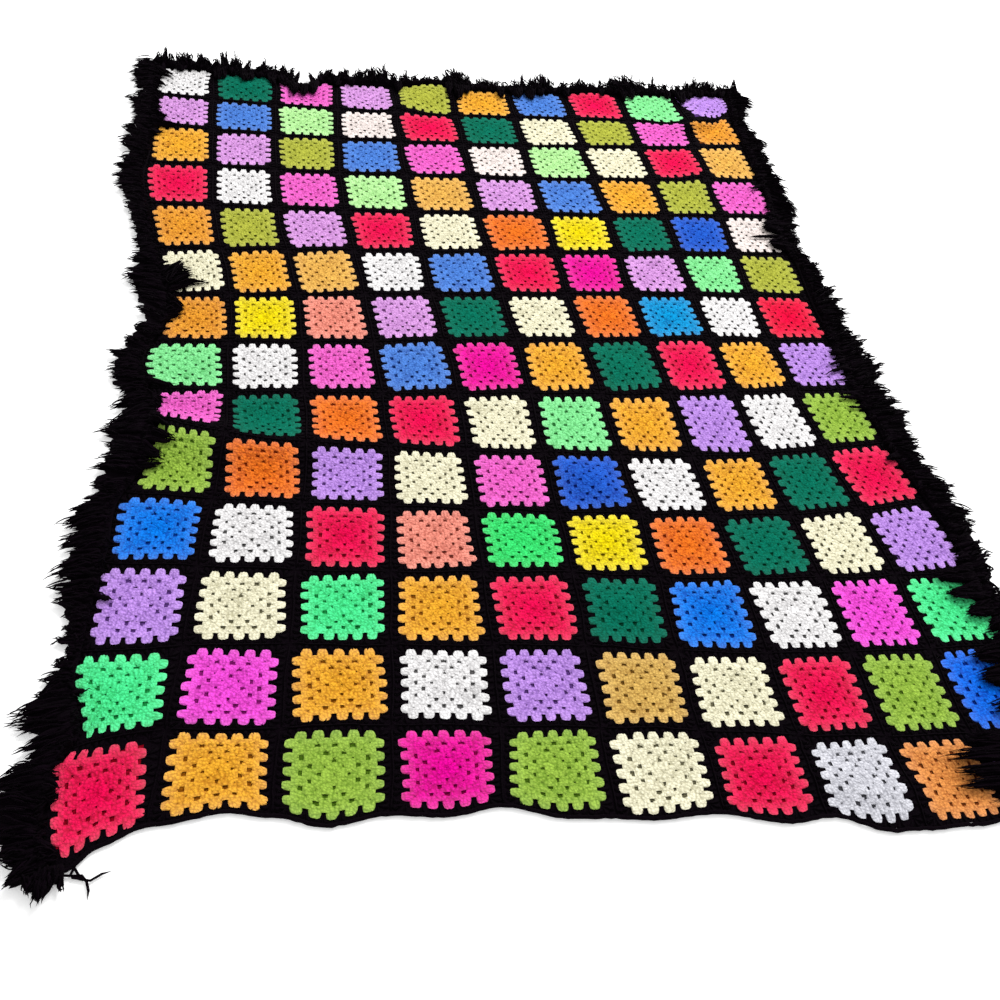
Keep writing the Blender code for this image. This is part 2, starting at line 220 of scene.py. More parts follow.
def acrylic(name, hex_colour, sheen, knob):
    """Acrylic yarn, softly spun: matt, with a slight sheen where loose fibre catches the light. Its plies and
    loops show as close rounded knobs, knob wide, with painted shade darkening the creases between them. The
    shade and tone stored on the points hold painted shade, which darkens yarn that lies deep in a stitch and
    deepens its colour there, where the light that gets out again is stronger in the yarn's colour, and tone
    that differs at random. The painted sheen stored there pales the outer tops of the rounds, where loose
    fibre catches the light, and the dye wanders."""
    material = bpy.data.materials.new(name)
    material.use_nodes = True
    tree = material.node_tree
    shader = tree.nodes["Principled BSDF"]
    colour = linear(hex_colour)
    strong = [value**2 / max(colour) for value in colour]
    paler = [value - stronger for value, stronger in zip(colour, strong)]
    place = node(tree, "TexCoord").outputs["Object"]
    # Painted shade and random tone, stored on the points.
    painted_shade_and_tone = node(tree, "Attribute", {"attribute_name": "painted_shade_and_tone"}).outputs["Fac"]
    warp = node(tree, "TexNoise", {"Scale": 1 / (2 * knob)}, {"Vector": place}).outputs["Color"]
    bent = node(tree, "VectorMath", {"operation": "MULTIPLY_ADD", 1: [knob] * 3}, {0: warp, 2: place})
    cells = node(tree, "TexVoronoi", {"Scale": 1 / knob}, {"Vector": bent.outputs[0]})
    knobs = cells.outputs["Distance"]
    dye = node(tree, "TexNoise", {"Scale": 1 / DYE_PATCH, "Detail": 2.0}, {"Vector": place}).outputs["Fac"]
    # Painted shade: the creases between the knobs are darkened and the knob tops lightened.
    painted_crease_shade = node(tree, "MapRange", {1: 0.15, 2: 0.75, 3: 1.1, 4: 0.7}, {0: knobs})
    batch = node(tree, "MapRange", {3: 0.92, 4: 1.08}, {0: dye})
    # Painted shade: the stored shade and the creases, with the dye's wander, darken the colour, and where it
    # is darkest turn it to a deeper hue of the yarn.
    deep = node(tree, "Math", {"operation": "MULTIPLY"}, {0: painted_shade_and_tone, 1: painted_crease_shade.outputs[0]})
    level = node(tree, "Math", {"operation": "MULTIPLY"}, {0: deep.outputs[0], 1: batch.outputs[0]})
    lit = node(tree, "MapRange", {1: 0.0, 2: 0.8}, {0: level.outputs[0]})
    hue = node(tree, "VectorMath", {"operation": "MULTIPLY_ADD", 0: paler, 2: strong}, {1: lit.outputs[0]})
    shade = node(tree, "VectorMath", {"operation": "SCALE"}, {0: hue.outputs[0], "Scale": level.outputs[0]})
    # Painted sheen: the outer tops of the rounds are paled, more for a bright yarn.
    painted_sheen = node(tree, "Attribute", {"attribute_name": "painted_sheen"}).outputs["Fac"]
    painted_sheen_amount = node(tree, "Math", {"operation": "MULTIPLY", 1: max(colour)}, {0: painted_sheen})
    with_painted_sheen = node(tree, "VectorMath", {"operation": "ADD"}, {0: shade.outputs[0], 1: painted_sheen_amount.outputs[0]})
    fall = node(tree, "Math", {"operation": "MULTIPLY", 1: -1.0}, {0: knobs})
    bump = node(tree, "Bump", {"Strength": 0.9, "Distance": knob / 2}, {"Height": fall.outputs[0]})
    tree.links.new(with_painted_sheen.outputs[0], shader.inputs["Base Color"])
    tree.links.new(bump.outputs[0], shader.inputs["Normal"])
    shader.inputs["Roughness"].default_value = 0.95
    shader.inputs["Specular IOR Level"].default_value = 0.05
    shader.inputs["Sheen Weight"].default_value = sheen
    shader.inputs["Sheen Roughness"].default_value = 0.5
    shader.inputs["Sheen Tint"].default_value = colour + [1.0]
    return material


def add_piece(name, parts, material):
    """A piece as one mesh, made of parts. Each part is its points, its faces as a list of whole-number
    arrays, one for each number of sides, and its painted shade and tone on each point."""
    starts = np.cumsum([0] + [len(points) for points, _, _ in parts])
    faces = [group + start for (_, groups, _), start in zip(parts, starts) for group in groups]
    points = np.concatenate([points for points, _, _ in parts]).astype(np.float32)
    painted_shade_and_tone = np.concatenate([painted_shade_and_tone for _, _, painted_shade_and_tone in parts]).astype(np.float32)
    sizes = np.concatenate([np.full(len(group), group.shape[1]) for group in faces])
    corners = np.concatenate([group.ravel() for group in faces])
    mesh = bpy.data.meshes.new(name)
    mesh.vertices.add(len(points))
    mesh.vertices.foreach_set("co", points.ravel())
    mesh.loops.add(len(corners))
    mesh.loops.foreach_set("vertex_index", corners.astype(np.int32))
    mesh.polygons.add(len(sizes))
    mesh.polygons.foreach_set("loop_start", (np.cumsum(sizes) - sizes).astype(np.int32))
    mesh.attributes.new("painted_shade_and_tone", "FLOAT", "POINT").data.foreach_set("value", painted_shade_and_tone)
    mesh.update(calc_edges=True)
    mesh.shade_smooth()
    mesh.materials.append(material)
    piece = bpy.data.objects.new(name, mesh)
    bpy.context.scene.collection.objects.link(piece)
    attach(piece, "root")
    return piece


BLACK = "080208"
BLACK_KNOB = 2.5 * MM
WEB_CELLS = 12  # to a square
BAND_CELLS = 2  # of them, on each side of a seam
WEB_INSET = 1.5 * MM  # its cut edge stays under the edging
WEB_HEIGHT = 0.9 * MM


def net(grid, height, painted_shade_and_tone, open_cells=None):
    """A thin sheet through a grid of places on the flat cloth, less the cells that are left open."""
    rows, columns = grid.shape[:2]
    points = np.column_stack([grid.reshape(-1, 2), np.full(rows * columns, height)])
    number = np.arange(rows * columns).reshape(rows, columns)
    cells = np.stack([number[:-1, :-1], number[:-1, 1:], number[1:, 1:], number[1:, :-1]], axis=-1)
    cells = cells.reshape(-1, 4) if open_cells is None else cells[~open_cells]
    return lay(points), [cells], np.full(len(points), painted_shade_and_tone)


def inner(count):
    """Which cells of a side lie inside its squares and not in a band."""
    cell = np.arange(count * WEB_CELLS) % WEB_CELLS
    return (cell >= BAND_CELLS) & (cell < WEB_CELLS - BAND_CELLS)


black_web = acrylic("black_acrylic_web", BLACK, 0.0, BLACK_KNOB)
web_half_x, web_half_y = COLUMNS * SQUARE / 2 - WEB_INSET, ROWS * SQUARE / 2 - WEB_INSET
web_x = np.linspace(-web_half_x, web_half_x, COLUMNS * WEB_CELLS + 1)
web_y = np.linspace(-web_half_y, web_half_y, ROWS * WEB_CELLS + 1)
web_grid = np.stack(np.meshgrid(web_x, web_y), axis=-1)
under_squares = inner(ROWS)[:, None] & inner(COLUMNS)[None, :]
web = add_piece("cloth_web", [net(web_grid, WEB_HEIGHT, 1.0, under_squares)], black_web)
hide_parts("blanket")

# ---- Coloured rounds of the squares ------------------------------------------
# Each square is crocheted from its middle in five rounds of one bright acrylic yarn. A round is clusters of
# three treble posts, as many on a side as the round's number, each worked into the gap between two clusters
# of the round before, with a chain over its top.
YARNS = {
    "wh": ("white", "F3F1F1"),
    "iv": ("ivory", "F6EAE5"),
    "cr": ("cream", "F5F0D0"),
    "pg": ("pearl_grey", "DDDDE5"),
    "bg": ("bottle_green", "00725B"),
    "pk": ("pink", "F264CB"),
    "hp": ("hot_pink", "F64CDB"),
    "oc": ("orchid", "DB9DE2"),
    "li": ("lilac", "C191E9"),
    "ol": ("olive", "B4B944"),
    "mo": ("moss", "9BBF47"),
    "go": ("gold", "F4AF2E"),
    "ho": ("honey", "EDB655"),
    "ta": ("tan", "DDB35E"),
    "am": ("amber", "EEA02F"),
    "or": ("orange", "F3781E"),
    "ap": ("apricot", "E7944A"),
    "ye": ("yellow", "F4DE00"),
    "co": ("cornflower", "4E84DA"),
    "bl": ("blue", "007CEC"),
    "ro": ("royal_blue", "215FD0"),
    "cb": ("cobalt", "006CEA"),
    "sk": ("sky_blue", "009AD9"),
    "re": ("red", "F10552"),
    "sc": ("scarlet", "F20040"),
    "ma": ("magenta", "F0009F"),
    "pm": ("pale_mint", "BBF3A1"),
    "mi": ("mint", "89EE9A"),
    "sp": ("spring_green", "4DF097"),
    "em": ("emerald", "39E574"),
    "sa": ("salmon", "F59481"),
}
# The order in which the squares are joined, from the far edge to the near one.
LAYOUT = (
    "wh bg pk oc ol go co re mi li",
    "oc co pm iv re bg cr ol pk am",
    "go oc ol co pk iv pm cr re ho",
    "re wh pk pm ho oc co go ol pk",
    "am ol oc re cr or ye bg ro iv",
    "cr go ho wh co re ma oc mi ol",
    "am ye sa oc bg cr or sk wh sc",
    "mi wh pk co ma go bg re go li",
    "pk bg or re cr mi go li wh mo",
    "mo or li cr pk ro wh go bg re",
    "bl wh re sa em ye or bg cr li",
    "li cr sp go re bg bl wh hp sp",
    "sp hp go wh li ta cr re mo cb",
    "re go mo ma mo cr re pg ap li",
)
ROUNDS = 5
ROUND = 8.9 * MM  # height of a round
rng = np.random.default_rng(14)


def tubes(paths, widths, depths, sides):
    """Closed yarns along the paths, drawn in to a point at both ends. paths is yarns by places by x, y and z,
    and widths and depths are half measures at each place. Returns the points and the faces."""
    count, length = paths.shape[:2]
    ahead = np.gradient(paths, axis=1)
    ahead /= np.linalg.norm(ahead, axis=2, keepdims=True) + 1e-12
    aside = np.stack([-ahead[..., 1], ahead[..., 0], np.zeros((count, length))], axis=2)
    aside /= np.linalg.norm(aside, axis=2, keepdims=True) + 1e-12
    above = np.cross(ahead, aside)
    angle = 2 * np.pi * np.arange(sides) / sides
    wide = (aside * np.asarray(widths)[..., None])[:, 1:-1, None, :] * np.cos(angle)[:, None]
    deep = (above * np.asarray(depths)[..., None])[:, 1:-1, None, :] * np.sin(angle)[:, None]
    rings = (paths[:, 1:-1, None, :] + wide + deep).reshape(count, -1, 3)
    points = np.concatenate([paths[:, :1], rings, paths[:, -1:]], axis=1)
    number = np.arange(1, points.shape[1] - 1).reshape(length - 2, sides)
    turned = np.roll(number, -1, axis=1)
    body = np.stack([number[:-1], turned[:-1], turned[1:], number[1:]], axis=-1).reshape(-1, 4)
    start_cap = np.stack([np.zeros(sides, int), turned[0], number[0]], axis=1)
    end_cap = np.stack([number[-1], turned[-1], np.full(sides, points.shape[1] - 1)], axis=1)
    first = (np.arange(count) * points.shape[1])[:, None, None]
    caps = (np.concatenate([start_cap, end_cap]) + first).reshape(-1, 3)
    return points.reshape(-1, 3), [(body + first).reshape(-1, 4), caps]


def spread_tone(painted_shade_and_tone, length, sides):
    """Tone at each place of each yarn, repeated for the points that tubes() makes there."""
    repeats = np.ones(length, int)
    repeats[1:-1] = sides
    return np.repeat(painted_shade_and_tone, repeats, axis=1).ravel()


def around(side, a, b):
    """From a along a side of the square and b out from its middle to x and y, for sides 0 to 3."""
    turn = side * np.pi / 2
    return a * np.cos(turn) - b * np.sin(turn), a * np.sin(turn) + b * np.cos(turn)


def corner_side(number, k):
    """-1 or 1 for a cluster next to a corner of its side, and 0 for the rest."""
    return 0 if number == 1 else {0: -1, number - 1: 1}.get(k, 0)


# A cluster is a cushion with a rib for each post. Across it stand its edges, its posts and the creases
# between them, and along it the foot, the neck, the shoulder and the top with its chain. Ribs are heights in
# millimetres, and each rise is a share of them.
ACROSS = np.array([-1.0, -0.66, -0.33, 0.0, 0.33, 0.66, 1.0])
RIBS = np.array([1.6, 3.0, 2.35, 3.15, 2.35, 3.0, 1.6])
RISE = np.array([0.8, 1.0, 1.03, 0.85])
# Painted shade across a cluster and along it: darker at its edges, in the creases between its posts, at its
# foot and a little at its top.
RIB_SHADE = np.array([0.7, 1.01, 0.84, 1.02, 0.84, 1.01, 0.7])
RISE_SHADE = np.array([0.82, 1.01, 1.02, 0.95])
# Painted sheen: how far each round is paled, most at the outer tops, where loose fibre catches the light.
PAINTED_SHEEN_BY_ROUND = {1: 0.002, 2: 0.007, 3: 0.012, 4: 0.02, ROUNDS: 0.045}
PAINTED_SHEEN_RISE = np.array([0.5, 0.7, 1.0, 1.7])
# How far each of the four places along stands out from the top of the round before, and half the width there,
# in millimetres. Clusters meet at the shoulder and leave a hole on each side of the neck. The outermost stand
# apart as square scallops, and the innermost close the middle.
OUTLINES = {
    1: ((0.4, 4.5, 8.0, 13.0), (1.5, 5.5, 8.6, 9.0)),
    2: ((1.0, 8.0, 8.7, 13.0), (7.4, 7.6, 9.1, 9.0)),
    3: ((1.0, 8.3, 8.9, 13.0), (6.6, 6.8, 9.1, 9.0)),
    4: ((1.0, 8.6, 9.1, 15.3), (6.2, 6.4, 9.1, 9.0)),
    ROUNDS: ((1.0, 6.6, 10.8, 15.3), (6.2, 6.3, 6.3, 5.3)),
}
CORNER_FILL = np.array([1.0, 1.0, 0.0, 0.0]) * MM  # added to a cluster at a corner, towards the corner
# How far the top of a cluster is rounded off at its edges.
ROUNDING, OUTER_ROUNDING = 1.0 * MM, 1.9 * MM


def round_of_clusters(number):
    """The cushions of one round, as clusters by places along by places across by x, y and height, on a flat
    square round its middle."""
    out, half = (np.array(values)[:, None] * MM for values in OUTLINES[number])
    rounding = (OUTER_ROUNDING if number == ROUNDS else ROUNDING) * (out / out[-1])
    clusters = []
    for side in range(4):
        for k in range(number):
            middle = (k - (number - 1) / 2) * 2 * ROUND
            corner = 0 if number == ROUNDS else corner_side(number, k)
            fill = CORNER_FILL[:, None]
            a = middle + corner * fill + ACROSS * (half + abs(corner) * fill)
            b = (number - 1) * ROUND + out - rounding * ACROSS**4
            x, y = around(side, a, b)
            clusters.append(np.stack([x, y, RISE[:, None] * RIBS * MM], axis=-1))
    return clusters


def wander(x, y):
    """Slow drift of the stitches, a millimetre or two, as the hand pulls some tighter than others."""
    drift_x = 1.1 * np.sin(37 * x + 12 * y + 1.0) + 0.9 * np.sin(-21 * x + 48 * y + 2.0)
    drift_y = 1.1 * np.sin(16 * x - 41 * y + 3.0) + 0.9 * np.sin(52 * x + 19 * y + 5.0)
    return drift_x * MM, drift_y * MM


def skew(columns, rows):
    """How far the cloth leans out of square at these places, as a slope shared by both directions."""
    step = 0.4
    across = shift(columns + step, rows) - shift(columns - step, rows)
    along = shift(columns, rows - step) - shift(columns, rows + step)
    return (across[1] + along[0]) / (4 * step * SQUARE)


# How a square differs from its plan: its twist in degrees, the share of the cloth's lean that it takes back,
# its width and length as shares, how uneven squares are in lean and size, and how uneven stitches stand.
TWIST, TWIST_UNEVEN = 1.3, 1.0
LEAN_BACK = 0.7
WIDER, LONGER = 0.985, 1.01
UNEVEN = 0.01
UNEVEN_HEIGHT = 0.12 * MM


def placed(paths, squares, jitter, give):
    """Copies a square's paths to each of the squares, given as columns and rows, none quite like another.
    With give, a square leans less than the cloth round it does, and stands a little twisted, as each round
    was worked on from the last without turning."""
    copies = np.broadcast_to(paths, (len(squares),) + paths.shape).copy()
    columns, rows = np.array(squares).T
    turn = give * rng.normal(radians(TWIST), radians(TWIST_UNEVEN), len(squares))[:, None, None]
    lean = -LEAN_BACK * skew(columns + 0.5, rows + 0.5) + rng.normal(0.0, UNEVEN, len(squares))
    lean = lean[:, None, None] * give
    size = rng.normal(1.0, UNEVEN, (len(squares), 1, 1))
    x, y = copies[..., 0] * size * WIDER, copies[..., 1] * size * LONGER
    copies[..., 0] = x * np.cos(turn) - y * np.sin(turn) + lean * y
    copies[..., 1] = x * np.sin(turn) + y * np.cos(turn) + lean * x
    copies[..., :2] += rng.normal(0.0, jitter, copies.shape[:2] + (1, 2))
    copies[..., 2] += rng.normal(0.0, UNEVEN_HEIGHT, copies.shape[:2] + (1,))
    copies[..., 0] += ((columns + 0.5 - COLUMNS / 2) * SQUARE)[:, None, None]
    copies[..., 1] += ((ROWS / 2 - rows - 0.5) * SQUARE)[:, None, None]
    drift_x, drift_y = wander(copies[..., 0], copies[..., 1])
    copies[..., 0] += drift_x
    copies[..., 1] += drift_y
    return lay(copies.reshape((-1,) + copies.shape[2:]))


def squares_of(mark):
    """Columns and rows of the squares worked in one yarn."""
    return [(c, r) for r, line in enumerate(LAYOUT) for c, yarn in enumerate(line.split()) if yarn == mark]


CLUSTER_JITTER = 0.45 * MM  # how far each cluster lies from its place
PULL_JITTER = 0.12 * MM  # and each point of it from where the cluster's form has it
SHADE_UNEVEN = 0.05  # from stitch to stitch


def cushion_part(squares, clusters):
    """The clusters of these squares as one part, each the ribbed top of a cushion, open underneath."""
    paths = np.array(clusters).reshape(len(clusters), -1, 3)
    laid = placed(paths, squares, CLUSTER_JITTER, 1.0)
    laid += rng.normal(0.0, PULL_JITTER, laid.shape)
    along, across = len(RISE), len(ACROSS)
    number = np.arange(along * across).reshape(along, across)
    tops = np.stack([number[:-1, 1:], number[1:, 1:], number[1:, :-1], number[:-1, :-1]], axis=-1)
    first = (np.arange(len(laid)) * along * across)[:, None, None]
    # Painted shade from the ribs and rises, uneven from stitch to stitch.
    painted_shade_and_tone = (RISE_SHADE[:, None] * RIB_SHADE).ravel() * rng.normal(1.0, SHADE_UNEVEN, (len(laid), 1))
    return laid.reshape(-1, 3), [(tops.reshape(-1, 4) + first).reshape(-1, 4)], painted_shade_and_tone.ravel()


GROUND_HALF = 41 * MM  # half a square's ground, which reaches under the web's edge
GROUND_CELLS = 8  # to a side
GROUND_HEIGHT = 0.7 * MM
# Painted shade: the ground is darkened to show as the shade deep in the holes.
HOLE_SHADE = 0.1
HOLE_GLOW = 0.18  # more for a strong colour, as its holes are lit by the yarn round them


def ground(squares, painted_shade_and_tone):
    """The bottoms of the stitches under each square, a low sheet darkened with painted shade, which shows
    dark through its holes.
    """
    step = np.linspace(-GROUND_HALF, GROUND_HALF, GROUND_CELLS + 1)
    nets = []
    for column, row in squares:
        x = (column + 0.5 - COLUMNS / 2) * SQUARE + step
        y = (ROWS / 2 - row - 0.5) * SQUARE + step
        nets.append(net(np.stack(np.meshgrid(x, y), axis=-1), GROUND_HEIGHT, painted_shade_and_tone))
    return nets


YARN_SHEEN = 0.1
YARN_KNOB = 3.2 * MM
cushions, painted_sheen_rows = [], []
for number in range(1, ROUNDS + 1):
    clusters = round_of_clusters(number)
    cushions += clusters
    painted_sheen_rows += [np.repeat(PAINTED_SHEEN_BY_ROUND[number] * PAINTED_SHEEN_RISE, len(ACROSS))] * len(clusters)
for mark, (yarn_name, yarn_colour) in YARNS.items():
    squares = squares_of(mark)
    yarn = acrylic(yarn_name + "_acrylic", yarn_colour, YARN_SHEEN, YARN_KNOB)
    # Painted shade for the holes, lighter for a strong colour, as the yarn round them lights them.
    strength = 1.0 - min(linear(yarn_colour)) / max(linear(yarn_colour))
    parts = ground(squares, HOLE_SHADE + HOLE_GLOW * strength) + [cushion_part(squares, cushions)]
    piece = add_piece("squares_" + yarn_name, parts, yarn)
    # Painted sheen: none on the ground, and on each cushion as its round and rise give.
    under = np.zeros(sum(len(points) for points, _, _ in parts[:-1]))
    painted_sheen = np.concatenate([under, np.tile(np.concatenate(painted_sheen_rows), len(squares))])
    piece.data.attributes.new("painted_sheen", "FLOAT", "POINT").data.foreach_set("value", painted_sheen.astype(np.float32))

# ---- Joining round and seams -------------------------------------------------
# A sixth round in black goes round every square, its posts fanning out of the valleys between the coloured
# clusters, and the squares are joined through its tops, which stand up as a soft ridge.
black_round = acrylic("black_acrylic_joining_round", BLACK, 0.0, BLACK_KNOB)
# A post from its foot to its top: how far it leans from the middle of its valley, how far out from the
# middle of the square it reaches, how high it stands, and half its width.
POST_LEAN = np.array([1.2, 1.6, 4.0, 5.0]) * MM
POST_OUT = np.array([41.0, 47.5, 54.5, 57.5]) * MM
POST_HEIGHT = np.array([0.5, 0.6, 1.6, 2.2]) * MM
POST_WIDTH = np.array([0.0, 1.7, 4.0, 0.0]) * MM
POST_DEPTH = 1.4 * MM
POST_TONE = np.array([0.8, 0.8, 1.0, 1.0])  # darker at the foot, which the clusters beside it shade
POST_JITTER = 0.3 * MM
POST_SIDES = 3


def post_part(squares, paths):
    """The joining posts of these squares as one part."""
    laid = placed(np.array(paths), squares, POST_JITTER, 0.0)
    wide = np.tile(POST_WIDTH, (len(laid), 1))
    painted_shade_and_tone = POST_TONE * rng.normal(1.0, SHADE_UNEVEN, (len(laid), 1))
    points, faces = tubes(laid, wide, np.full(wide.shape, POST_DEPTH), POST_SIDES)
    return points, faces, spread_tone(painted_shade_and_tone, len(POST_TONE), POST_SIDES)


fan_paths = []
for side in range(4):
    for k in range(ROUNDS + 1):
        valley = (k - ROUNDS / 2) * 2 * ROUND
        for lean in (-POST_LEAN, POST_LEAN):
            x, y = around(side, valley + lean, POST_OUT)
            fan_paths.append(np.stack([x, y, POST_HEIGHT], axis=1))
every_square = [(column, row) for row in range(ROWS) for column in range(COLUMNS)]
add_piece("joining_round", [post_part(every_square, fan_paths)], black_round)
# Half the thickness of a seam's ridge and how uneven that is, the height of its middle, how far it waves,
# and how far its wave turns from each place to the next.
SEAM_RADIUS = 1.4 * MM
SEAM_UNEVEN = (0.85, 1.15)
SEAM_HEIGHT = 2.2 * MM
SEAM_WAVE = 0.4 * MM
SEAM_TURN = 2.2
SEAM_PLACES = 12
SEAM_SIDES = 3


def ridges(starts, ends):
    """Ridges of stitches laid from starts to ends on the flat cloth, one for each pair."""
    t = np.linspace(0.0, 1.0, SEAM_PLACES)
    paths = np.zeros((len(starts), SEAM_PLACES, 3))
    starts, ends = np.array(starts), np.array(ends)
    paths[..., :2] = starts[:, None] + (ends - starts)[:, None] * t[:, None]
    paths[..., :2] += rng.normal(0.0, SEAM_WAVE, (len(starts), SEAM_PLACES, 2))
    paths[..., 2] = SEAM_HEIGHT + SEAM_WAVE * np.sin(np.arange(SEAM_PLACES) * SEAM_TURN)
    drift_x, drift_y = wander(paths[..., 0], paths[..., 1])
    paths[..., 0] += drift_x
    paths[..., 1] += drift_y
    wide = SEAM_RADIUS * rng.uniform(*SEAM_UNEVEN, (len(starts), SEAM_PLACES))
    points, faces = tubes(lay(paths), wide, wide, SEAM_SIDES)
    return points, faces, np.ones(len(points))


def corner(column, row):
    """A square's corner on the flat cloth."""
    return (column - COLUMNS / 2) * SQUARE, (ROWS / 2 - row) * SQUARE


seam_starts = [corner(c, r) for r in range(1, ROWS) for c in range(COLUMNS)]
seam_ends = [corner(c + 1, r) for r in range(1, ROWS) for c in range(COLUMNS)]
seam_starts += [corner(c, r) for r in range(ROWS) for c in range(1, COLUMNS)]
seam_ends += [corner(c, r + 1) for r in range(ROWS) for c in range(1, COLUMNS)]
add_piece("seams", [ridges(seam_starts, seam_ends)], black_round)

# ---- Edging ------------------------------------------------------------------
# A round of short black acrylic stitches runs along all four edges. It shows as a smooth rolled rim on the
# near edge, and holds the fringe on the other three.
EDGING_RADIUS = 2.6 * MM
EDGING_UNEVEN = (0.9, 1.1)
EDGING_PLACES = 200  # to a side
EDGING_SIDES = 6
EDGING_JITTER = 0.35 * MM
EDGING_JITTER_UP = 0.3 * MM


def rim():
    """The edging as one rope of stitches round the whole cloth."""
    half_x, half_y = COLUMNS * SQUARE / 2, ROWS * SQUARE / 2
    along_x = np.linspace(-half_x, half_x, EDGING_PLACES)
    along_y = np.linspace(-half_y, half_y, EDGING_PLACES)
    right, away = np.full(EDGING_PLACES, half_x), np.full(EDGING_PLACES, half_y)
    x = np.concatenate([along_x, right, along_x[::-1], -right])
    y = np.concatenate([away, along_y[::-1], -away, along_y])
    x += rng.normal(0.0, EDGING_JITTER, len(x))
    y += rng.normal(0.0, EDGING_JITTER, len(y))
    drift_x, drift_y = wander(x, y)
    up = EDGING_RADIUS + rng.normal(0.0, EDGING_JITTER_UP, len(x))
    wide = EDGING_RADIUS * rng.uniform(*EDGING_UNEVEN, (1, len(x)))
    path = np.stack([x + drift_x, y + drift_y, up], axis=1)
    points, faces = tubes(lay(path[None]), wide, wide, EDGING_SIDES)
    return points, faces, np.ones(len(points))


add_piece("edging", [rim()], black_round)

# ---- Fringe ------------------------------------------------------------------
# Bunches of black acrylic ends are knotted through the edging along both sides and the far edge, and combed
# out until they stand up, curl and mat together. Where the blanket was thrown down, some fell inwards.
# Each row of these is a place along the side in squares, from its far or its left end, and the reach
# outward, the reach inward and the height there in millimetres.
LEFT_FRINGE = (
    (0, 35, 20, 24), (0.35, 65, 22, 26), (0.75, 46, 20, 24), (1, 24, 14, 22), (1.4, 62, 22, 24),
    (2, 49, 26, 24), (2.2, 47, 20, 24), (2.5, 65, 12, 24), (3, 62, 8, 25), (3.4, 65, 6, 26),
    (4.2, 52, 10, 24), (4.8, 54, 10, 26), (5.2, 48, 14, 28), (5.5, 84, 15, 30), (5.75, 92, 16, 30),
    (6.05, 96, 24, 30), (6.35, 72, 28, 26), (6.8, 54, 20, 24), (7.5, 58, 8, 24), (7.95, 72, 16, 26),
    (8.25, 33, 16, 24), (8.6, 64, 22, 27), (9.1, 76, 26, 28), (9.5, 74, 20, 26), (9.8, 72, 16, 26),
    (10, 40, 10, 24), (10.3, 70, 6, 26), (10.7, 54, 10, 26), (11.1, 66, 14, 26), (11.5, 45, 14, 24),
    (11.75, 31, 13, 22), (12.05, 21, 10, 18), (12.3, 34, 12, 22), (12.55, 76, 14, 25), (13, 52, 18, 26),
    (13.4, 76, 20, 27), (13.75, 52, 20, 28), (14, 27, 20, 30),
)
RIGHT_FRINGE = (
    (0, 27, 12, 22), (0.6, 60, 8, 24), (1, 53, 10, 23), (1.5, 36, 12, 22), (1.8, 59, 10, 24),
    (2.5, 50, 14, 25), (3.2, 63, 18, 26), (4, 67, 26, 28), (4.5, 53, 28, 28), (4.9, 33, 20, 26),
    (5.3, 57, 8, 26), (5.9, 65, 6, 27), (6.3, 85, 6, 28), (6.8, 60, 14, 26), (7.25, 78, 22, 28),
    (7.75, 80, 24, 28), (8.3, 73, 22, 28), (8.7, 86, 14, 29), (9.1, 54, 18, 26), (9.7, 66, 14, 26),
    (10.2, 58, 10, 26), (10.6, 49, 20, 26), (11, 44, 30, 26), (11.4, 34, 40, 28), (12.4, 47, 50, 32),
    (13.4, 52, 80, 32), (14, 49, 60, 30),
)
FAR_FRINGE = (
    (0, 36, 10, 29), (0.4, 33, 16, 29), (0.8, 47, 14, 33), (1, 31, 26, 29), (1.2, 58, 28, 36),
    (1.6, 30, 28, 26), (2.1, 44, 26, 29), (2.38, 10, 26, 10), (2.5, 10, 26, 10), (2.8, 38, 14, 24),
    (3.3, 36, 12, 29), (3.7, 47, 8, 37), (4.1, 30, 12, 26), (4.3, 26, 8, 24), (4.5, 14, 5, 12),
    (4.85, 24, 5, 18), (5, 66, 12, 40), (5.4, 33, 18, 26), (5.9, 24, 22, 24), (6.3, 29, 22, 26),
    (6.6, 46, 20, 35), (7, 26, 14, 26), (7.2, 31, 10, 26), (7.4, 20, 8, 24), (7.8, 29, 10, 29),
    (8.1, 60, 16, 37), (8.6, 35, 16, 31), (8.9, 24, 14, 20), (9.4, 41, 20, 33), (10, 24, 8, 26),
)
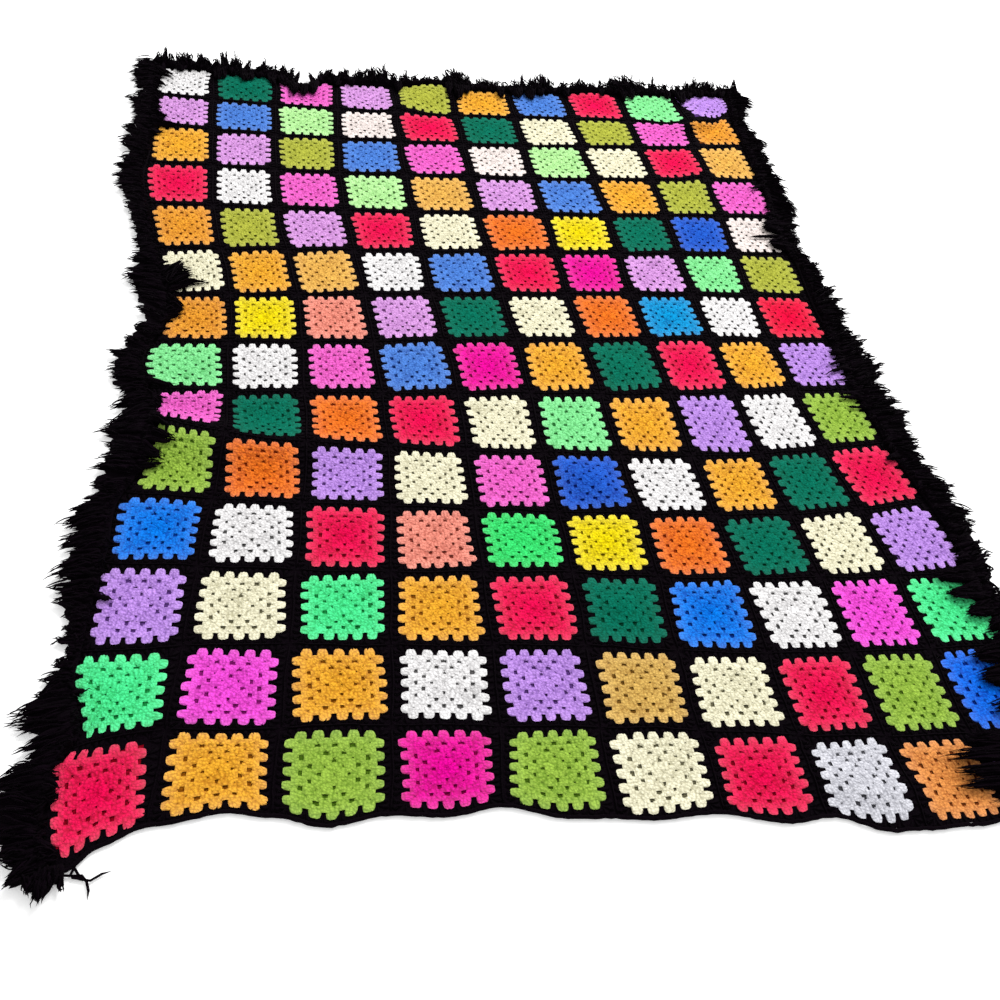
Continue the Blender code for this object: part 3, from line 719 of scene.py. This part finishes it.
# Tufts that stick out past the rest or lie in over the squares: place along the side in squares, then half
# width, reach outward (or inward, below zero), lean along the side and height of the tip, all in
# millimetres, and last the number of strands.
TUFTS = {
    "left": (
        (0.28, 8, -42, -26, 5, 14), (0.12, 6, -46, -30, 5, 10), (0.6, 10, -30, -22, 4, 14),
        (1.78, 14, -38, -6, 4, 30), (2.05, 9, -58, 0, 4, 26), (2.3, 8, -34, 4, 4, 10),
        (5.85, 22, -48, 52, 14, 60), (5.75, 30, -62, 14, 12, 80), (5.95, 12, -66, 22, 9, 36),
        (5.8, 8, -88, 2, 6, 10), (6.3, 36, -38, -10, 6, 80), (7.88, 6, -50, -14, 3, 8),
        (8.25, 14, -34, -6, 5, 9), (8.6, 14, -26, -8, 5, 10), (9.02, 8, -46, -10, 5, 20),
        (9.22, 12, -58, -4, 4, 22), (9.45, 24, -44, -6, 4, 24), (12.42, 3, -30, -5, 4, 3),
        (11.35, 5, -36, -16, 3, 5), (11.88, 5, 36, 0, 4, 10), (13.4, 20, -24, 0, 5, 24),
        (12.95, 3, 52, 6, 4, 4), (13.1, 3, 56, 2, 4, 4), (13.24, 3, 52, -2, 4, 4),
        (13.85, 16, -32, -4, 6, 40), (13.9, 14, 34, -18, 10, 56),
    ),
    "near": (
        (0.0, 14, 27, -2, 10, 56), (0.1, 15, 36, 0, 12, 80), (0.2, 12, 24, 2, 10, 40),
        (0.06, 3, 37, -4, 8, 5), (0.26, 3, 33, 6, 8, 5),
    ),
    "right": (
        (3.25, 4, -44, -6, 5, 5), (4.08, 14, -34, 0, 8, 30), (4.35, 26, -46, 0, 8, 60),
        (4.78, 24, -46, 0, 8, 50), (4.6, 3, -98, 0, 3, 5), (7.3, 8, -30, -6, 6, 12),
        (7.48, 2, -48, -10, 4, 3), (7.62, 2, -54, -14, 4, 3), (7.78, 2, -46, -18, 4, 3),
        (8.14, 2, -54, 4, 4, 3), (8.26, 2, -62, 10, 4, 3), (8.42, 2, -48, 8, 4, 3),
        (8.2, 12, -30, 2, 5, 16), (9.3, 9, -34, 0, 5, 12), (11.1, 17, -74, 2, 8, 60),
        (11.34, 18, -68, 0, 8, 56), (11.58, 16, -54, -4, 8, 40), (11.78, 12, -30, -6, 6, 20),
        (12.16, 20, -80, 0, 8, 60), (12.42, 24, -80, 0, 8, 74), (12.76, 24, -82, 0, 8, 74),
        (13.1, 24, -140, 0, 10, 90), (13.28, 18, -180, 0, 10, 80), (13.46, 16, -184, 0, 10, 80),
        (13.62, 14, -192, 0, 10, 70), (13.82, 16, -146, 0, 10, 60),
    ),
    "far": (
        (0.17, 7, 44, 4, 22, 18), (0.55, 14, 40, 0, 20, 30), (0.8, 12, 42, 2, 22, 26),
        (1.2, 5, 50, -2, 31, 16), (1.36, 5, 49, -2, 31, 14), (1.52, 7, 34, 2, 18, 12),
        (1.8, 6, 41, 0, 20, 16), (2.12, 12, 40, 0, 19, 26), (2.27, 6, 44, 14, 10, 12),
        (2.62, 7, 44, -14, 10, 12), (2.82, 7, 32, 2, 16, 14), (3.16, 7, 41, 0, 20, 16),
        (3.4, 12, 36, 0, 18, 20), (3.62, 10, 50, -2, 28, 30), (3.82, 10, 50, 2, 28, 28),
        (4.2, 6, 44, 2, 22, 16), (4.4, 5, 34, 0, 18, 8), (4.52, 1, 36, 4, 18, 2), (4.7, 1, 38, 4, 20, 2),
        (4.9, 5, 48, -2, 24, 10), (5.04, 9, 57, 2, 31, 28), (5.25, 10, 42, 2, 20, 20),
        (5.6, 10, 32, 2, 18, 16), (6.28, 6, 46, 0, 24, 16), (6.5, 8, 40, 0, 22, 16),
        (6.65, 9, 52, 0, 30, 28), (7.3, 12, 38, 6, 22, 28), (7.66, 6, 34, 4, 18, 12),
        (7.86, 2, 60, 6, 33, 5), (8.12, 11, 53, -2, 31, 34), (8.24, 5, 53, 2, 31, 8),
        (8.42, 3, 46, -4, 24, 5), (8.62, 5, 46, 2, 26, 12), (9.2, 8, 34, 2, 18, 12),
        (9.38, 9, 46, -2, 26, 24), (9.6, 9, 40, 0, 20, 20), (10.08, 8, 44, 2, 26, 24),
        (0.45, 18, -32, 0, 4, 18), (0.12, 4, -36, 4, 4, 6), (1.06, 9, -60, 0, 5, 36),
        (1.17, 6, -52, 0, 5, 20), (1.5, 12, -62, 0, 5, 50), (1.6, 8, -50, 0, 5, 26),
        (1.94, 9, -60, 0, 5, 36), (2.12, 12, -50, 0, 5, 36), (2.3, 13, -86, -2, 6, 66),
        (2.45, 13, -84, 0, 6, 66), (2.6, 12, -76, 0, 6, 54), (3.02, 10, -34, 0, 4, 20),
        (3.25, 12, -24, 0, 4, 18), (4.08, 9, -46, 0, 4, 26), (4.95, 8, -60, -6, 5, 28),
        (5.1, 14, -64, 0, 5, 50), (5.25, 9, -40, 0, 5, 24), (5.86, 9, -52, 0, 5, 30),
        (6.15, 16, -48, 0, 5, 44), (6.38, 16, -54, 0, 5, 46), (6.58, 10, -34, 0, 5, 22),
        (7.04, 9, -38, 0, 4, 20), (7.7, 6, -34, -8, 4, 12), (8.05, 9, -50, 0, 4, 26),
        (8.2, 10, -40, 0, 4, 24), (8.85, 9, -36, 0, 4, 20), (9.08, 13, -62, 0, 5, 44),
        (9.24, 10, -40, 0, 5, 26), (9.45, 14, -32, 0, 5, 26), (9.68, 12, -42, 0, 5, 34),
        (9.86, 10, -46, -2, 5, 32),
    ),
}
BUNCH = 14 * MM  # along the edge
BUNCH_HALF = 10 * MM  # half the width over which its ends spread, so bunches overlap
STRANDS = 18  # that hang out of a bunch
FALLEN = 5  # that lie inwards from it
STRAND_PLACES = 6
KNOT_RIM = 4 * MM  # how far inside the cloth's edge the ends begin
KNOT_HEIGHT = 3 * MM  # over the cloth's underside
CLOTH_TOP = 4.6 * MM  # which the ends clear where they lie over the squares
TAPER = 0.75  # of a tuft's width from its foot to its tips
WANDER, GATHER = 0.2, 0.2  # of that width, how far an end strays on its way, and how far it is drawn in
TURNS = (0.5, 1.3)  # of its curl along an end
OUT_CURL = 0.5  # of the curl along the side
TIP_CURVE = 1.5  # the power of the rise to the tips
ARCH = 3.0  # millimetres that an end rises midway
END_TONE = (0.6, 1.5)


def reach(table, place, which):
    """A fringe's reach or height at these places, from its table."""
    rows = np.array(table, float)
    return np.interp(place, rows[:, 0], rows[:, which]) * MM


def beside(side, place, out, along):
    """Flat x and y at a place along one side in squares, moved out from the edge and along it."""
    edge_x, edge_y = COLUMNS * SQUARE / 2, ROWS * SQUARE / 2
    if side in ("far", "near"):
        outward = 1.0 if side == "far" else -1.0
        return place * SQUARE - edge_x + along, outward * (edge_y + out)
    outward = -1.0 if side == "left" else 1.0
    return outward * (edge_x + out), edge_y - place * SQUARE + along


def flight(side, place, half, length, lean, tip, bulk, span, curl):
    """Paths of yarn ends, one for each place. span gives where each starts and ends along its tuft, whose
    width tapers from half at its foot and which leans along the side by lean at its tip."""
    count = len(place)
    t = np.linspace(0.0, 1.0, STRAND_PLACES)
    along_tuft = span[0][:, None] + (span[1] - span[0])[:, None] * t
    first = rng.uniform(-1.0, 1.0, (count, 1))
    across = first + (rng.normal(0.0, WANDER, (count, 1)) - GATHER * first) * t
    phase = rng.uniform(0.0, 2 * np.pi, (2, count, 1))
    turns = rng.uniform(*TURNS, (count, 1)) * 2 * np.pi
    sway, pull = curl[:, None] * t * np.sin(turns * t + phase)
    out = length[:, None] * along_tuft + OUT_CURL * pull - np.sign(length)[:, None] * KNOT_RIM
    along = lean[:, None] * along_tuft + half[:, None] * across * (1.0 - TAPER * along_tuft) + sway
    layer = rng.uniform(0.0, 1.0, (count, 1)) * bulk[:, None]
    arch = rng.uniform(0.0, ARCH, (count, 1)) * MM * np.sin(np.pi * t)
    rise = tip[:, None] * along_tuft**TIP_CURVE
    up = KNOT_HEIGHT + rise + layer * np.maximum(1.0 - along_tuft**2, 0.0) + arch
    x, y = beside(side, place[:, None], out, along)
    return x, y, up


def yarn_ends(flown, radius, tip_share, sides):
    """Closed tapering ends along their paths, kept over the floor and over the cloth."""
    x, y, up = flown
    inside = np.minimum(COLUMNS * SQUARE / 2 - np.abs(x), ROWS * SQUARE / 2 - np.abs(y))
    under = np.clip((inside + KNOT_RIM) / (2 * KNOT_RIM), 0.0, 1.0) * CLOTH_TOP
    wide = radius[:, None] * np.linspace(1.0, tip_share, STRAND_PLACES)
    points, faces = tubes(lay(np.stack([x, y, np.maximum(up, under + wide)], axis=2)), wide, wide, sides)
    painted_shade_and_tone = rng.uniform(*END_TONE, (len(x), 1)) * np.ones((1, STRAND_PLACES))
    return points, faces, spread_tone(painted_shade_and_tone, STRAND_PLACES, sides)


STRAND_RADIUS, LOCK_RADIUS = (1.2, 2.0), (3.2, 5.0)  # millimetres at the root
STRAND_TIP, LOCK_TIP = 0.3, 0.35  # of that at the tip
STRAND_SIDES, LOCK_SIDES = 3, 5
STRAND_START = 0.55  # of its tuft's length, the furthest out that a strand starts
STRAND_SPAN = (0.4, 0.65)
STRAND_END = (0.85, 1.05)  # which it doesn't pass
LOCK_END = 0.8
LOCK_RISE, LOCK_BULK, LOCK_CURL = 0.5, 0.35, 0.5  # of a strand's
LOCK_EVERY = 3  # strands


def hang(side, place, half, length, lean, tip, bulk, curl):
    """The strands of tufts, given strand by strand, and the thick matted locks that lie lower, one to so many
    strands. A strand starts anywhere in the lower half of its tuft, and a lock starts at the foot."""
    count = len(place)
    start = rng.uniform(0.0, STRAND_START, count)
    end = np.minimum(start + rng.uniform(*STRAND_SPAN, count), rng.uniform(*STRAND_END, count))
    flown = flight(side, place, half, length, lean, tip, bulk, (start, end), curl)
    ends = yarn_ends(flown, rng.uniform(*STRAND_RADIUS, count) * MM, STRAND_TIP, STRAND_SIDES)
    given = (place, half, length, lean, LOCK_RISE * tip, LOCK_BULK * bulk)
    foot = np.zeros(len(place[::LOCK_EVERY]))
    given = [values[::LOCK_EVERY] for values in given]
    flown = flight(side, *given, (foot, foot + LOCK_END), LOCK_CURL * curl[::LOCK_EVERY])
    locks = yarn_ends(flown, rng.uniform(*LOCK_RADIUS, len(foot)) * MM, LOCK_TIP, LOCK_SIDES)
    return [ends, locks]


BUNCH_SHIFT = (0.2, 0.8)  # of its share of the edge, where a bunch sits
BUNCH_REACH = (0.78, 1.14)  # of the fringe's reach there
DRIFT = 9  # neighbours share most of their lean
SHARED_LEAN, OWN_LEAN = 9 * MM, 4 * MM  # of a bunch this long
LEAN_LENGTH = 40 * MM
FALLEN_TIP = 0.1  # of the fringe's height
TIP_SPREAD = (0.2, 1.4)
END_CURL = (0.5, 4.0)  # millimetres
BULK = 0.6  # of the fringe's height


def edge_fringe(side, table, length, tip_share):
    """The bunches along a whole side: their hanging ends, and the ends that fell inwards. Neighbouring
    bunches lean alike, and their tips stand at a share of the fringe's height."""
    bunches = int(length * SQUARE / BUNCH)
    bunch_place = (np.arange(bunches) + rng.uniform(*BUNCH_SHIFT, bunches)) / bunches * length
    drift = np.convolve(rng.normal(0.0, 1.0, bunches + DRIFT - 1), np.full(DRIFT, DRIFT**-0.5), "valid")
    parts = []
    for which, each, way in ((1, STRANDS, 1.0), (2, FALLEN, -1.0)):
        place = np.repeat(bunch_place, each)
        count = len(place)
        uneven = np.repeat(rng.uniform(*BUNCH_REACH, bunches), each)
        lean = np.repeat(drift * SHARED_LEAN + rng.normal(0.0, OWN_LEAN, bunches), each)
        tall = reach(table, place, 3)
        long = way * reach(table, place, which) * uneven
        tip = (tip_share if way > 0 else FALLEN_TIP) * tall * rng.uniform(*TIP_SPREAD, count)
        curl = rng.uniform(*END_CURL, count) * MM
        half = np.full(count, BUNCH_HALF)
        parts += hang(side, place, half, long, lean * np.abs(long) / LEAN_LENGTH, tip, BULK * tall, curl)
    return parts


SPARSE = 12  # strands, under which a tuft is thin and curls more
SPARSE_CURL, TUFT_CURL = 7 * MM, 3 * MM
SPARSE_BULK, TUFT_BULK = 4 * MM, 12 * MM
CURL_SHARE = (0.3, 1.0)
TUFT_SPREAD = (0.3, 1.1)  # of the tip's height


def tuft_parts(sides):
    """The tufts of these sides that stand out on their own."""
    parts = []
    for side in sides:
        for place, half, length, lean, tip, count in TUFTS[side]:
            most_curl, bulk = (SPARSE_CURL, SPARSE_BULK) if count < SPARSE else (TUFT_CURL, TUFT_BULK)
            curl = rng.uniform(*CURL_SHARE, count) * most_curl
            up = tip * MM * rng.uniform(*TUFT_SPREAD, count)
            each = np.ones(count)
            parts += hang(side, place * each, half * MM * each, length * MM * each, lean * MM * each, up,
                          bulk * each, curl)
    return parts


def slab(grid, low, high):
    """A closed slab over a grid of places on the flat cloth, given as rows by columns of x and y."""
    rows, columns = grid.shape[:2]
    count = rows * columns
    flat = grid.reshape(count, 2)
    points = np.concatenate([np.column_stack([flat, np.full(count, height)]) for height in (low, high)])
    number = np.arange(count).reshape(rows, columns)
    top = np.stack([number[:-1, :-1], number[:-1, 1:], number[1:, 1:], number[1:, :-1]], axis=-1)
    top = top.reshape(-1, 4)
    border = np.concatenate([number[0], number[1:, -1], number[-1, -2::-1], number[-2:0:-1, 0]])
    after = np.roll(border, -1)
    side = np.stack([border, after, after + count, border + count], axis=-1)
    return lay(points), [top + count, top[:, ::-1], side], np.ones(2 * count)


MAT_CELLS = 20  # to a square
MAT_SHARES = (0.0, 0.35, 0.7, 1.0)  # of its width, where its places stand
MAT_WIDTHS = (0.5, 0.74)  # of the fringe's reach, from the narrowest to the widest
MAT_LOW, MAT_TALL = 0.5 * MM, 7 * MM


def mat(side, table, length):
    """The felted feet of the bunches along a side: a low closed slab, a little over half as wide as the
    fringe and as ragged, which keeps light from showing through it."""
    along = (length, 0.0) if side == "left" else (0.0, length)
    place = np.linspace(*along, length * MAT_CELLS + 1)
    wide = reach(table, place, 1) * rng.uniform(*MAT_WIDTHS, len(place))
    rows = [beside(side, place, share * wide - KNOT_RIM, 0.0) for share in MAT_SHARES]
    return slab(np.stack([np.stack(row, axis=-1) for row in rows]), MAT_LOW, MAT_TALL)


COMBED_KNOB = 2 * MM
combed = acrylic("black_acrylic_combed_ends", BLACK, 0.0, COMBED_KNOB)
# Side, its table and length in squares, how high its tips stand as a share, and the tufts made with it.
for side, table, length, tip_share, tuft_sides in (
    ("left", LEFT_FRINGE, ROWS, 0.15, ("left", "near")),
    ("right", RIGHT_FRINGE, ROWS, 0.2, ("right",)),
    ("far", FAR_FRINGE, COLUMNS, 0.45, ("far",)),
):
    parts = edge_fringe(side, table, length, tip_share) + tuft_parts(tuft_sides) + [mat(side, table, length)]
    strands = add_piece("fringe_strands_" + side, parts, combed)
    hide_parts("fringe_" + side)

# ---- Loose ends of yarn ------------------------------------------------------
# Black ends of acrylic yarn stray from the near edge close to the left corner, and cross on the floor. They
# are tails of the last round, cut and never darned in.
# Each point is in millimetres, in from the left edge and out past the near one.
TAILS = (
    ((22, -2), (34, 5), (46, 12), (57, 22), (64, 34), (68, 45), (69, 56)),
    ((40, -4), (47, 6), (52, 16), (59, 28), (68, 35), (79, 32), (90, 35)),
    ((50, -6), (46, 2), (43, 8), (46, 14), (52, 20), (57, 26), (61, 31)),
)
TAIL_RADIUS = 1.4 * MM
TAIL_HEIGHT = 2 * MM
TAIL_SIDES = 6
tail_x, tail_y = np.moveaxis(np.array(TAILS, float) * MM, -1, 0)
tail_x, tail_y = tail_x - COLUMNS * SQUARE / 2, -ROWS * SQUARE / 2 - tail_y
tail_paths = np.stack([tail_x, tail_y, np.full(tail_x.shape, TAIL_HEIGHT)], axis=-1)
tail_wide = np.full(tail_x.shape, TAIL_RADIUS)
tail_points, tail_faces = tubes(lay(tail_paths), tail_wide, tail_wide, TAIL_SIDES)
add_piece("loose_ends", [(tail_points, tail_faces, np.ones(len(tail_points)))], combed)

# ---- Floor and light ---------------------------------------------------------
# A plain pale floor, matt, with one large soft lamp at the far right and an even light all round.
FLOOR_LEVEL = -1 * MM
FLOOR_SIZE = 14.0
bpy.ops.mesh.primitive_plane_add(size=FLOOR_SIZE, location=(0.0, 0.0, FLOOR_LEVEL))
floor = bpy.context.object
floor.name = "floor"
# White paint, rolled on: quite matt and a little uneven, and lit up by the room round it.
paint = bpy.data.materials.new("white_matt_floor_paint")
paint.use_nodes = True
paint_tree = paint.node_tree
paint_shader = paint_tree.nodes["Principled BSDF"]
floor_place = node(paint_tree, "TexCoord").outputs["Object"]
mottle = node(paint_tree, "TexNoise", {"Scale": 1.5}, {"Vector": floor_place})
tint = node(paint_tree, "MapRange", {3: 0.9, 4: 0.93}, {0: mottle.outputs["Fac"]})
paint_tree.links.new(tint.outputs[0], paint_shader.inputs["Base Color"])
paint_shader.inputs["Roughness"].default_value = 1.0
paint_shader.inputs["Specular IOR Level"].default_value = 0.0
paint_shader.inputs["Emission Color"].default_value = (1.0, 1.0, 1.0, 1.0)
paint_shader.inputs["Emission Strength"].default_value = 0.32
floor.data.materials.append(paint)

world = bpy.data.worlds.new("studio")
world.use_nodes = True
all_round = world.node_tree.nodes["Background"]
all_round.inputs["Color"].default_value = (1.0, 1.0, 1.0, 1.0)
all_round.inputs["Strength"].default_value = 0.8
bpy.context.scene.world = world
lamp_data = bpy.data.lights.new("key", "AREA")
lamp_data.energy = 300.0
lamp_data.size = 2.5
lamp = bpy.data.objects.new("key", lamp_data)
lamp.location = (2.2, 3.2, 4.2)
lamp.rotation_euler = (radians(-42.8), 0.0, radians(-34.5))
bpy.context.scene.collection.objects.link(lamp)
bpy.context.scene.view_settings.view_transform = "Standard"
